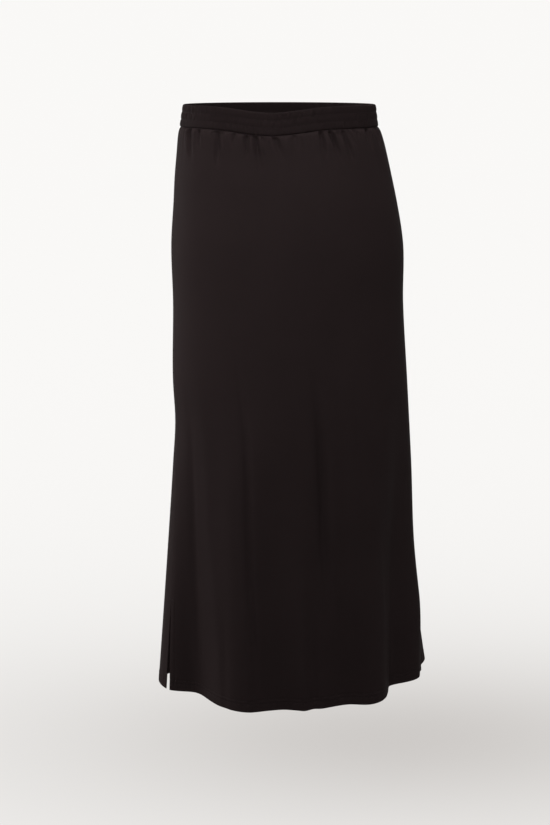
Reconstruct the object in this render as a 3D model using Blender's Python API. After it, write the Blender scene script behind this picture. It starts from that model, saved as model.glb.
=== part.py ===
"""A maxi skirt, worn with no wearer: a front panel, a back panel and an elastic waistband.

Metres, +Z up. The front faces -Y, the back +Y, and the wearer's left is +X. The origin is the
middle of the waist, at half the waistband's height. An angle goes round the skirt from the centre
back, positive towards the wearer's left, so 90 is the left side and 180 the centre front.
"""

import math
from collections import namedtuple

import bmesh
import bpy
import numpy as np

# Driving sizes
BAND_HEIGHT = 0.035
SKIRT_DROP = 0.9135  # from the waistband's seam to the hem, at the side
HEM_HEIGHT = -BAND_HEIGHT / 2 - SKIRT_DROP  # the hem hangs level
CLOTH_WALL = 0.0012
BAND_WALL = 0.003
SEAM_GAP = 0.0003
SLIT_LENGTH = 0.150
SLIT_GAP = 0.010  # between the slit's two edges, at the hem

# The elastic rides lower at the centre back
BACK_DIP = 0.010
BACK_DIP_ANGLE = 5.0
BACK_DIP_SPREAD = 24.0

# The waistband leans in towards the waist, and each of its sewn channels swells a little
BAND_TAPER = 0.005
BAND_SWELL = 0.0007
BAND_CHANNELS = 3
BAND_COLUMNS = 84

# Gathered cloth puffs out just below the seam
PUFF = 0.0015
PUFF_DROP = 0.014

# The side seams, by angle at the waistband and at the hem: the skirt has turned a little when worn
LEFT_SEAM = (82.0, 67.0)
RIGHT_SEAM = (-96.0, -112.0)

# How each panel is divided
GATHER_ROWS = (0.0, 0.004, 0.011, 0.021, 0.035, 0.054, 0.078)  # drops of the rows through the gathers
LONG_ROWS = 11  # from the gathers to the top of the slits
SLIT_ROWS = 4
PANEL_COLUMNS = 44
WIDEST_COLUMN = 4.6  # degrees, between two columns of the gathered stretch
CLOSEST_COLUMNS = 0.5  # degrees
SLOPE_STEP = 0.0002  # metres or degrees, for reading the cloth's slope

# The skirt's outline: drop below the waistband, the middle's shift to the wearer's left, half the
# width, and the depth behind and in front of the middle
Section = namedtuple("Section", "drop shift half_width back front")
SECTIONS = (
    Section(0.000, 0.0000, 0.1575, 0.106, 0.100),
    Section(0.030, -0.0030, 0.1646, 0.112, 0.106),
    Section(0.080, -0.0066, 0.1736, 0.122, 0.114),
    Section(0.120, -0.0098, 0.1790, 0.127, 0.117),
    Section(0.180, -0.0128, 0.1860, 0.131, 0.119),
    Section(0.280, -0.0145, 0.1858, 0.131, 0.120),
    Section(0.410, -0.0183, 0.1908, 0.132, 0.123),
    Section(0.475, -0.0221, 0.1914, 0.133, 0.125),
    Section(0.545, -0.0224, 0.1956, 0.134, 0.128),
    Section(0.680, -0.0214, 0.2035, 0.138, 0.136),
    Section(0.810, -0.0243, 0.2154, 0.145, 0.146),
    Section(SKIRT_DROP, -0.0256, 0.2240, 0.150, 0.153),
)

# Crests and troughs of the long folds, in order round the skirt: the angle at the waistband and at
# the hem, how far the hem stands out of the oval there, and the share of the drop where it starts
Fold = namedtuple("Fold", "top hem out start")
FOLDS = (
    Fold(178.0, 178.0, 0.026, 0.45),
    Fold(160.0, 160.0, 0.000, 0.55),
    Fold(144.0, 142.0, 0.018, 0.50),
    Fold(122.0, 116.0, -0.020, 0.45),
    Fold(100.0, 88.0, 0.002, 0.50),
    Fold(82.0, 67.0, 0.003, 0.50),
    Fold(64.0, 51.0, -0.020, 0.50),
    Fold(25.0, 18.0, 0.040, 0.45),
    Fold(6.0, 4.0, 0.018, 0.60),
    Fold(-3.0, -3.0, 0.023, 0.60),
    Fold(-27.0, -22.0, 0.002, 0.45),
    Fold(-52.0, -31.0, 0.0135, 0.42),
    Fold(-74.0, -61.0, -0.049, 0.34),
    Fold(-94.0, -100.0, -0.0116, 0.85),
    Fold(-104.0, -110.0, 0.0038, 0.50),
    Fold(-120.0, -127.0, 0.060, 0.42),
    Fold(-138.0, -147.0, -0.010, 0.45),
    Fold(-156.0, -162.0, 0.016, 0.50),
    Fold(-168.0, -172.0, 0.004, 0.60),
)
FOLD_POWER = 1.35

# Troughs of the gathers on the back: the angle at the seam, how far it turns on its way down, its
# depth, half its width and its length. The front has the same ones, turned round and shifted.
Gather = namedtuple("Gather", "angle turn depth half_width length")
GATHERS = (
    Gather(63.0, -7.0, 0.0020, 0.0050, 0.070),
    Gather(53.5, -4.0, 0.0014, 0.0045, 0.045),
    Gather(39.6, 0.0, 0.0011, 0.0034, 0.030),
    Gather(37.2, -1.0, 0.0020, 0.0045, 0.078),
    Gather(34.2, -1.0, 0.0013, 0.0034, 0.040),
    Gather(26.0, 1.0, 0.0009, 0.0045, 0.035),
    Gather(18.6, 0.0, 0.0016, 0.0036, 0.050),
    Gather(16.2, 0.0, 0.0011, 0.0034, 0.030),
    Gather(13.8, -3.0, 0.0022, 0.0044, 0.078),
    Gather(9.8, 0.0, 0.0010, 0.0036, 0.024),
    Gather(3.0, -5.0, 0.0015, 0.0055, 0.050),
    Gather(-8.5, 0.0, 0.0009, 0.0050, 0.035),
    Gather(-23.8, -0.6, 0.0018, 0.0042, 0.060),
    Gather(-26.8, -0.5, 0.0011, 0.0036, 0.032),
    Gather(-29.6, -5.0, 0.0020, 0.0044, 0.075),
    Gather(-35.0, -2.0, 0.0013, 0.0042, 0.035),
    Gather(-38.6, -4.0, 0.0019, 0.0044, 0.078),
    Gather(-42.0, -3.0, 0.0012, 0.0040, 0.040),
    Gather(-47.0, -1.0, 0.0010, 0.0045, 0.030),
    Gather(-60.0, 2.0, 0.0016, 0.0055, 0.055),
    Gather(-74.0, 1.0, 0.0013, 0.0050, 0.045),
)
FRONT_GATHER_SHIFT = 176.0
GATHER_RISE = 0.006  # the gathers are pressed flat where the seam holds them
GATHER_MARKS = (-1.0, -0.5, 0.0, 0.5, 1.0)  # columns across a gather, in half widths

CLOTH_COLOUR = (0.0105, 0.0074, 0.0076, 1.0)
BAND_COLOUR = (0.0092, 0.0064, 0.0066, 1.0)
CLOTH_ROUGHNESS = 0.62
BAND_ROUGHNESS = 0.70

# A row of a wall: how far along it each column lies, and its points on the outside and the inside
Row = namedtuple("Row", "shares outer inner")


def smooth_step(share):
    """0 to 1, with no slope at either end."""
    share = np.clip(share, 0.0, 1.0)
    return share * share * (3.0 - 2.0 * share)


def wrapped(angle):
    """The same angle, from -180 up to 180."""
    return (angle + 180.0) % 360.0 - 180.0


def along_table(x, xs, ys):
    """A smooth curve through a table's points, with each point's slope taken from its neighbours."""
    xs = np.asarray(xs, float)
    ys = np.asarray(ys, float)
    slopes = np.gradient(ys, xs)
    i = np.clip(np.searchsorted(xs, x, side="right") - 1, 0, len(xs) - 2)
    step = xs[i + 1] - xs[i]
    u = (x - xs[i]) / step
    start = (1 + 2 * u) * (1 - u) ** 2 * ys[i] + u * (1 - u) ** 2 * step * slopes[i]
    end = u * u * (3 - 2 * u) * ys[i + 1] + u * u * (u - 1) * step * slopes[i + 1]
    return start + end


def section_value(drop, column):
    """One column of the outline's table, at a drop below the waistband."""
    drops = [section.drop for section in SECTIONS]
    return along_table(drop, drops, [getattr(section, column) for section in SECTIONS])


def depth(angle, drop):
    """How far the oval reaches behind its middle, or in front of it, on the angle's side."""
    behind = np.cos(np.radians(angle)) > 0
    return np.where(behind, section_value(drop, "back"), section_value(drop, "front"))


def outline(angle, drop):
    """The plain oval of the skirt: its X and Y, and the way out of it, at an angle and a drop."""
    turn = np.radians(angle)
    wide = section_value(drop, "half_width")
    deep = depth(angle, drop)
    x = section_value(drop, "shift") + wide * np.sin(turn)
    y = deep * np.cos(turn)
    out_x = deep * np.sin(turn)
    out_y = wide * np.cos(turn)
    size = np.hypot(out_x, out_y)
    return x, y, out_x / size, out_y / size


def degrees_per_metre(angle, drop):
    """How far round the oval a metre of cloth goes, at an angle and a drop."""
    turn = np.radians(angle)
    arc = np.hypot(section_value(drop, "half_width") * np.cos(turn), depth(angle, drop) * np.sin(turn))
    return np.degrees(1.0 / arc)


def seam_height(angle):
    """The height of the waistband's lower seam, which dips at the centre back."""
    off = wrapped(angle - BACK_DIP_ANGLE) / BACK_DIP_SPREAD
    return -BAND_HEIGHT / 2 - BACK_DIP * np.exp(-off * off)


def fold_out(angle, share):
    """How far the long folds stand out of the oval. Each crest or trough fades to its neighbours."""
    angles = [fold.top + (fold.hem - fold.top) * share for fold in FOLDS]
    total = np.zeros_like(angle)
    for k, fold in enumerate(FOLDS):
        before = (angles[k - 1] - angles[k]) % 360.0
        after = (angles[k] - angles[(k + 1) % len(FOLDS)]) % 360.0
        off = wrapped(angle - angles[k])
        near = smooth_step(1.0 - np.where(off > 0, off / before, -off / after))
        grown = np.clip((share - fold.start) / (1.0 - fold.start), 0.0, 1.0) ** FOLD_POWER
        total = total + fold.out * grown * near
    return total


def all_gathers():
    """The back's gathers, and the front's, which repeat them the other way round."""
    front = [
        gather._replace(angle=wrapped(FRONT_GATHER_SHIFT - gather.angle), turn=-gather.turn)
        for gather in GATHERS
    ]
    return list(GATHERS) + front


def gather_out(angle, drop):
    """The puff under the seam, less the gathers' troughs, each deepest a little way down."""
    total = PUFF * (drop / PUFF_DROP) * np.exp(1.0 - drop / PUFF_DROP)
    for gather in all_gathers():
        centre = gather.angle + gather.turn * drop / gather.length
        half = gather.half_width * degrees_per_metre(gather.angle, 0.0)
        across = smooth_step(1.0 - np.abs(wrapped(angle - centre)) / half)
        down = smooth_step(drop / GATHER_RISE) * smooth_step(1.0 - drop / gather.length)
        total = total - gather.depth * across * down
    return total


def cloth_points(angle, drop):
    """Points on the panels' outer face, one for each angle, at one drop."""
    drop = np.full_like(angle, drop)
    share = drop / SKIRT_DROP
    x, y, out_x, out_y = outline(angle, drop)
    out = fold_out(angle, share) + gather_out(angle, drop)
    top = seam_height(angle) - SEAM_GAP
    z = top + (HEM_HEIGHT - top) * share
    return np.stack([x + out_x * out, y + out_y * out, z], axis=-1)


def way_out(angle, drop):
    """The way straight out of the cloth at each point, square to its slopes across and down."""
    across = cloth_points(angle + SLOPE_STEP, drop) - cloth_points(angle - SLOPE_STEP, drop)
    down = cloth_points(angle, drop + SLOPE_STEP) - cloth_points(angle, drop - SLOPE_STEP)
    out = np.cross(across, down)
    return out / np.linalg.norm(out, axis=-1, keepdims=True)


def edge_angle(seam, drop, side):
    """A panel's edge: half the gap away from the seam, where the gap widens down the slit."""
    centre = seam[0] + (seam[1] - seam[0]) * drop / SKIRT_DROP
    down_slit = np.clip((drop - SKIRT_DROP + SLIT_LENGTH) / SLIT_LENGTH, 0.0, 1.0)
    gap = SEAM_GAP + (SLIT_GAP - SEAM_GAP) * down_slit
    return centre + side * gap / 2 * degrees_per_metre(centre, drop)


def back_edges(drop):
    """The first and last angle of the back panel at a drop."""
    return edge_angle(RIGHT_SEAM, drop, 1), edge_angle(LEFT_SEAM, drop, -1)


def front_edges(drop):
    """The first and last angle of the front panel at a drop. It goes on past 180."""
    return edge_angle(LEFT_SEAM, drop, 1), edge_angle(RIGHT_SEAM, drop, -1) + 360.0


def gather_angles(first, last):
    """Angles between two others where a gather's trough, flanks or edges lie, none too close."""
    marks = []
    for gather in all_gathers():
        half = gather.half_width * degrees_per_metre(gather.angle, 0.0)
        marks += [first + (gather.angle + half * mark - first) % 360.0 for mark in GATHER_MARKS]
    kept = [first]
    for mark in sorted(marks):
        if mark - kept[-1] > CLOSEST_COLUMNS and mark < last - CLOSEST_COLUMNS:
            kept.append(mark)
    return kept + [last]


def gathered_shares(first, last):
    """Where the gathered stretch has its columns, as shares of the way across its panel."""
    kept = gather_angles(first, last)
    filled = []
    for start, end in zip(kept, kept[1:]):
        steps = math.ceil((end - start) / WIDEST_COLUMN)
        filled += [start + (end - start) * step / steps for step in range(steps)]
    return (np.array(filled + [last]) - first) / (last - first)


def panel_rows(edges):
    """A panel's rows of points, close together through the gathers and wider below them."""
    slit_top = SKIRT_DROP - SLIT_LENGTH
    gathered = gathered_shares(*edges(0.0))
    even = np.linspace(0.0, 1.0, PANEL_COLUMNS + 1)
    below = [
        *np.linspace(GATHER_ROWS[-1], slit_top, LONG_ROWS + 1)[1:],
        *np.linspace(slit_top, SKIRT_DROP, SLIT_ROWS + 1)[1:],
    ]
    rows = []
    for drop, shares in [(drop, gathered) for drop in GATHER_ROWS] + [(drop, even) for drop in below]:
        first, last = edges(drop)
        angle = first + (last - first) * shares
        outer = cloth_points(angle, drop)
        rows.append(Row(shares, outer, outer - way_out(angle, drop) * CLOTH_WALL))
    return rows


def band_rows():
    """The waistband's rows of points, from its top down to its seam, each a closed ring."""
    shares = np.linspace(0.0, 1.0, BAND_COLUMNS + 1)
    angle = 360.0 * shares
    x, y, out_x, out_y = outline(angle, np.zeros_like(angle))
    rows = []
    for up in np.linspace(1.0, 0.0, 2 * BAND_CHANNELS + 1):
        lean = BAND_TAPER * up
        swell = BAND_SWELL * np.sin(np.pi * BAND_CHANNELS * up) ** 2
        z = seam_height(angle) + BAND_HEIGHT * up
        outer = np.stack([x + out_x * (swell - lean), y + out_y * (swell - lean), z], axis=-1)
        back = BAND_WALL + lean
        rows.append(Row(shares, outer, np.stack([x - out_x * back, y - out_y * back, z], axis=-1)))
    return rows


def join(bm, upper, lower, upper_shares=None, lower_shares=None):
    """Faces between two rows of vertices: quads where they match, or else triangles in turn."""
    if len(upper) == len(lower):
        for j in range(len(upper) - 1):
            bm.faces.new((upper[j], upper[j + 1], lower[j + 1], lower[j]))
        return
    steps = [(share, 0) for share in upper_shares[1:]] + [(share, 1) for share in lower_shares[1:]]
    i = j = 0
    for _, below in sorted(steps):
        if below:
            bm.faces.new((upper[i], lower[j + 1], lower[j]))
            j += 1
        else:
            bm.faces.new((upper[i], upper[i + 1], lower[j]))
            i += 1


def wall_mesh(name, rows, closed):
    """A closed wall: its outside, its inside, and the edges between them."""
    bm = bmesh.new()
    outer = [vertex_row(bm, row.outer, closed) for row in rows]
    inner = [vertex_row(bm, row.inner, closed) for row in rows]
    for face in (outer, inner):
        for k in range(len(rows) - 1):
            join(bm, face[k], face[k + 1], rows[k].shares, rows[k + 1].shares)
    for end in (0, -1):
        join(bm, outer[end], inner[end])
        if not closed:
            join(bm, [row[end] for row in outer], [row[end] for row in inner])
    bmesh.ops.recalc_face_normals(bm, faces=bm.faces)
    mesh = bpy.data.meshes.new(name)
    bm.to_mesh(mesh)
    bm.free()
    mesh.shade_smooth()
    return mesh


def vertex_row(bm, points, closed):
    """A row's vertices. A closed row ends on the vertex it starts with."""
    row = [bm.verts.new(point) for point in (points[:-1] if closed else points)]
    return row + row[:1] if closed else row


def add_piece(name, rows, closed, colour, roughness):
    """One cut piece of the skirt, as an object with its own cloth."""
    obj = bpy.data.objects.new(name, wall_mesh(name, rows, closed))
    bpy.context.scene.collection.objects.link(obj)
    obj.data.materials.append(cloth_material(name, colour, roughness))


def cloth_material(name, colour, roughness):
    """Plain jersey: one colour and one roughness."""
    material = bpy.data.materials.new(name)
    material.use_nodes = True
    shader = material.node_tree.nodes["Principled BSDF"]
    shader.inputs["Base Color"].default_value = colour
    shader.inputs["Roughness"].default_value = roughness
    shader.inputs["Metallic"].default_value = 0.0
    return material


def clear_scene():
    """Removes whatever the scene holds."""
    for obj in list(bpy.data.objects):
        bpy.data.objects.remove(obj)


def main():
    """Makes the skirt's three pieces."""
    clear_scene()
    add_piece("back_panel", panel_rows(back_edges), False, CLOTH_COLOUR, CLOTH_ROUGHNESS)
    add_piece("front_panel", panel_rows(front_edges), False, CLOTH_COLOUR, CLOTH_ROUGHNESS)
    add_piece("waistband", band_rows(), True, BAND_COLOUR, BAND_ROUGHNESS)


main()
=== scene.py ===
"""The looks of a near-black jersey maxi skirt: cloth, gathers, creases, stitching and studio.

Metres, +Z up. The front faces -Y, the back +Y, and the wearer's left is +X. An angle goes round the
skirt from the centre back, positive towards the wearer's left, in degrees. A drop is the distance
below the waistband's seam.
"""

import logging
import math
from dataclasses import dataclass, field, replace
from enum import Enum
from typing import Any

import bpy
import numpy as np
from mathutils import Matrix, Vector


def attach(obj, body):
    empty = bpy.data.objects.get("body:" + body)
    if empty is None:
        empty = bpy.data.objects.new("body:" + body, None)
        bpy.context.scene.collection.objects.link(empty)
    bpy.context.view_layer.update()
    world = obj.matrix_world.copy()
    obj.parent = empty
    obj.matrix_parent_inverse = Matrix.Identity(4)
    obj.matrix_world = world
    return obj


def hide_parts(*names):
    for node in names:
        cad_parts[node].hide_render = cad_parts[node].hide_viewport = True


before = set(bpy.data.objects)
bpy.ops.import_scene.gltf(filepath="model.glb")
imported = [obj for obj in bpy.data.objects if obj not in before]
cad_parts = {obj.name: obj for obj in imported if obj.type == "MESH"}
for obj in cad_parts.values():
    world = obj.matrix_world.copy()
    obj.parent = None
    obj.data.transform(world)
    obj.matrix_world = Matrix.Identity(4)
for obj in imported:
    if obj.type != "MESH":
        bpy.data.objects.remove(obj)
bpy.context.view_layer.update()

LOG = logging.getLogger("skirt")
UV_NAME = "cloth"

BACKDROP_WHITE = (0.95, 0.94, 0.925)
BACKDROP_GREY = (0.15, 0.148, 0.145)
BACKDROP_START = -0.2
BACKDROP_END = 0.6

BAND_HEIGHT = 0.035
SKIRT_DROP = 0.9135
HEM_HEIGHT = -BAND_HEIGHT / 2 - SKIRT_DROP

# A row of stitching: points on the cloth, and the way out of it at each.
Line = tuple[np.ndarray, np.ndarray]


class Side(Enum):
    """The two panels, by the way they face."""

    BACK = "back"
    FRONT = "front"


@dataclass(frozen=True)
class Section:
    """One level of the plain oval that the skirt hangs to.

    Attributes:
        drop: Metres below the seam.
        shift: Where the oval's middle lies in X.
        half_width: From the middle to either side.
        back: From the middle to the centre back.
        front: From the middle to the centre front.
    """

    drop: float
    shift: float
    half_width: float
    back: float
    front: float


@dataclass(frozen=True)
class Fold:
    """A long fold's crest or trough, which stands out of the oval most at the hem.

    Attributes:
        top: Its angle at the seam.
        hem: Its angle at the hem.
        out: How far it stands out at the hem. A trough's is the lower of two neighbours'.
        start: The share of the drop at which it begins.
    """

    top: float
    hem: float
    out: float
    start: float


@dataclass(frozen=True)
class Gather:
    """One trough of the gathers under the waistband.

    Attributes:
        angle: Its angle at the seam.
        turn: How far it leans by its lower end, in degrees.
        depth: The depth of its solid's trough.
        half_width: From its middle to either edge of the solid's trough.
        length: The drop at which the solid's trough ends.
    """

    angle: float
    turn: float
    depth: float
    half_width: float
    length: float


@dataclass(frozen=True)
class Crease:
    """A soft ridge or trough laid on the cloth.

    Attributes:
        top: Its angle where it starts.
        bottom: Its angle where it ends.
        start: The share of the drop at which it starts.
        end: The share of the drop at which it ends, past 1 where the hem cuts it off.
        out: Its height, or its depth below zero.
        width: From its middle to where it has fallen to about a third.
    """

    top: float
    bottom: float
    start: float
    end: float
    out: float
    width: float


@dataclass(frozen=True)
class Wave:
    """One sine among the fine wrinkles that run round the skirt.

    Attributes:
        count: How many waves go round.
        start: Its phase, in radians or in shares of a shift that the wrinkles are given.
        height: Its height beside the others'.
    """

    count: int
    start: float
    height: float = 1.0


SECTIONS = (
    Section(0.000, 0.0000, 0.1575, 0.106, 0.100),
    Section(0.030, -0.0030, 0.1646, 0.112, 0.106),
    Section(0.080, -0.0066, 0.1736, 0.122, 0.114),
    Section(0.120, -0.0098, 0.1790, 0.127, 0.117),
    Section(0.180, -0.0128, 0.1860, 0.131, 0.119),
    Section(0.280, -0.0145, 0.1858, 0.131, 0.120),
    Section(0.410, -0.0183, 0.1908, 0.132, 0.123),
    Section(0.475, -0.0221, 0.1914, 0.133, 0.125),
    Section(0.545, -0.0224, 0.1956, 0.134, 0.128),
    Section(0.680, -0.0214, 0.2035, 0.138, 0.136),
    Section(0.810, -0.0243, 0.2154, 0.145, 0.146),
    Section(SKIRT_DROP, -0.0256, 0.2240, 0.150, 0.153),
)

FOLDS = (
    Fold(178.0, 178.0, 0.026, 0.45),
    Fold(160.0, 160.0, 0.000, 0.55),
    Fold(144.0, 142.0, 0.018, 0.50),
    Fold(122.0, 116.0, -0.020, 0.45),
    Fold(100.0, 88.0, 0.002, 0.50),
    Fold(82.0, 67.0, 0.003, 0.50),
    Fold(64.0, 51.0, -0.020, 0.50),
    Fold(25.0, 18.0, 0.040, 0.45),
    Fold(6.0, 4.0, 0.018, 0.60),
    Fold(-3.0, -3.0, 0.023, 0.60),
    Fold(-27.0, -22.0, 0.002, 0.45),
    Fold(-52.0, -31.0, 0.0135, 0.42),
    Fold(-74.0, -61.0, -0.049, 0.34),
    Fold(-94.0, -100.0, -0.0116, 0.85),
    Fold(-104.0, -110.0, 0.0038, 0.50),
    Fold(-120.0, -127.0, 0.060, 0.42),
    Fold(-138.0, -147.0, -0.010, 0.45),
    Fold(-156.0, -162.0, 0.016, 0.50),
    Fold(-168.0, -172.0, 0.004, 0.60),
)

GATHERS = (
    Gather(63.0, -7.0, 0.0020, 0.0050, 0.070),
    Gather(53.5, -4.0, 0.0014, 0.0045, 0.045),
    Gather(39.6, 0.0, 0.0011, 0.0034, 0.030),
    Gather(37.2, -1.0, 0.0020, 0.0045, 0.078),
    Gather(34.2, -1.0, 0.0013, 0.0034, 0.040),
    Gather(26.0, 1.0, 0.0009, 0.0045, 0.035),
    Gather(18.6, 0.0, 0.0016, 0.0036, 0.050),
    Gather(16.2, 0.0, 0.0011, 0.0034, 0.030),
    Gather(13.8, -3.0, 0.0022, 0.0044, 0.078),
    Gather(9.8, 0.0, 0.0010, 0.0036, 0.024),
    Gather(3.0, -5.0, 0.0015, 0.0055, 0.050),
    Gather(-8.5, 0.0, 0.0009, 0.0050, 0.035),
    Gather(-23.8, -0.6, 0.0018, 0.0042, 0.060),
    Gather(-26.8, -0.5, 0.0011, 0.0036, 0.032),
    Gather(-29.6, -5.0, 0.0020, 0.0044, 0.075),
    Gather(-35.0, -2.0, 0.0013, 0.0042, 0.035),
    Gather(-38.6, -4.0, 0.0019, 0.0044, 0.078),
    Gather(-42.0, -3.0, 0.0012, 0.0040, 0.040),
    Gather(-47.0, -1.0, 0.0010, 0.0045, 0.030),
    Gather(-60.0, 2.0, 0.0016, 0.0055, 0.055),
    Gather(-74.0, 1.0, 0.0013, 0.0050, 0.045),
)
FRONT_GATHER_SHIFT = 176.0

CREASES = (
    Crease(26.2, 13.5, 0.35, 1.03, -0.0056, 0.0058),
    Crease(34.0, 24.0, 0.40, 0.90, 0.0012, 0.014),
    Crease(62.0, 46.0, 0.40, 1.03, -0.0028, 0.009),
    Crease(52.0, 35.0, 0.36, 0.92, 0.0015, 0.012),
    Crease(39.5, 29.5, 0.66, 1.02, 0.0008, 0.008),
    Crease(30.5, 26.0, 0.78, 1.08, -0.0014, 0.007),
    Crease(14.0, 11.0, 0.68, 1.10, -0.0020, 0.012),
    Crease(-11.8, -15.8, 0.36, 0.86, -0.0080, 0.0088),
    Crease(-12.0, -10.0, 0.44, 1.05, -0.0022, 0.016),
    Crease(-7.5, -7.2, 0.78, 1.10, -0.0048, 0.008),
    Crease(-3.4, -3.4, 0.80, 1.10, 0.0022, 0.006),
    Crease(-20.0, -17.0, 0.40, 0.95, 0.0010, 0.020),
    Crease(-32.5, -28.0, 0.20, 0.98, 0.0036, 0.018),
    Crease(-47.5, -37.0, 0.32, 1.02, -0.0012, 0.012),
    Crease(-50.0, -46.0, 0.36, 1.10, -0.0018, 0.010),
    Crease(170.0, 168.0, 0.42, 0.98, -0.0022, 0.016),
    Crease(-172.0, -174.0, 0.52, 1.05, 0.0018, 0.014),
    Crease(133.0, 130.0, 0.40, 0.92, 0.0018, 0.014),
    Crease(152.0, 151.0, 0.62, 1.10, -0.0024, 0.012),
    Crease(-142.0, -146.0, 0.46, 0.94, 0.0016, 0.013),
    Crease(-158.0, -160.0, 0.66, 1.10, -0.0022, 0.011),
    Crease(118.0, 112.0, 0.44, 1.02, -0.0018, 0.010),
)


RIPPLES = (Wave(67, 0.7), Wave(101, 2.1, 0.8), Wave(43, 4.0, 0.6))
HEM_PUCKERS = (Wave(211, 0.4), Wave(157, 1.9, 0.7), Wave(89, 0.0, 0.5))
RUCHES = (Wave(97, 1.0), Wave(151, -1.0, 0.8), Wave(71, 2.0, 0.6))


def smooth_step(share: np.ndarray) -> np.ndarray:
    """0 to 1 with no slope at either end: three times the square less twice the cube."""
    share = np.clip(share, 0.0, 1.0)
    return share * share * (3.0 - 2.0 * share)


def bell(off: np.ndarray) -> np.ndarray:
    """A bell curve: 1 in the middle, and e to the minus square further out."""
    return np.exp(-off * off)


def wrapped(angle: np.ndarray) -> np.ndarray:
    """The same angle, from -180 up to 180."""
    return (angle + 180.0) % 360.0 - 180.0


def wrinkles(
    waves: tuple[Wave, ...], turn: np.ndarray, shift: np.ndarray | float = 1.0
) -> np.ndarray:
    """The sum of some sines round the skirt."""
    return sum(wave.height * np.sin(wave.count * turn + wave.start * shift) for wave in waves)


def along_table(x: np.ndarray, xs: np.ndarray, ys: np.ndarray) -> np.ndarray:
    """A smooth curve through a table's points: Hermite pieces, sloped by their neighbours.

    Args:
        x: Where the curve is read.
        xs: The table's places, growing.
        ys: The table's values.

    Returns:
        The curve's value at each x.
    """
    slopes = np.gradient(ys, xs)
    i = np.clip(np.searchsorted(xs, x, side="right") - 1, 0, len(xs) - 2)
    step = xs[i + 1] - xs[i]
    u = (x - xs[i]) / step
    start = (1 + 2 * u) * (1 - u) ** 2 * ys[i] + u * (1 - u) ** 2 * step * slopes[i]
    end = u * u * (3 - 2 * u) * ys[i + 1] + u * u * (u - 1) * step * slopes[i + 1]
    return start + end


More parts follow.
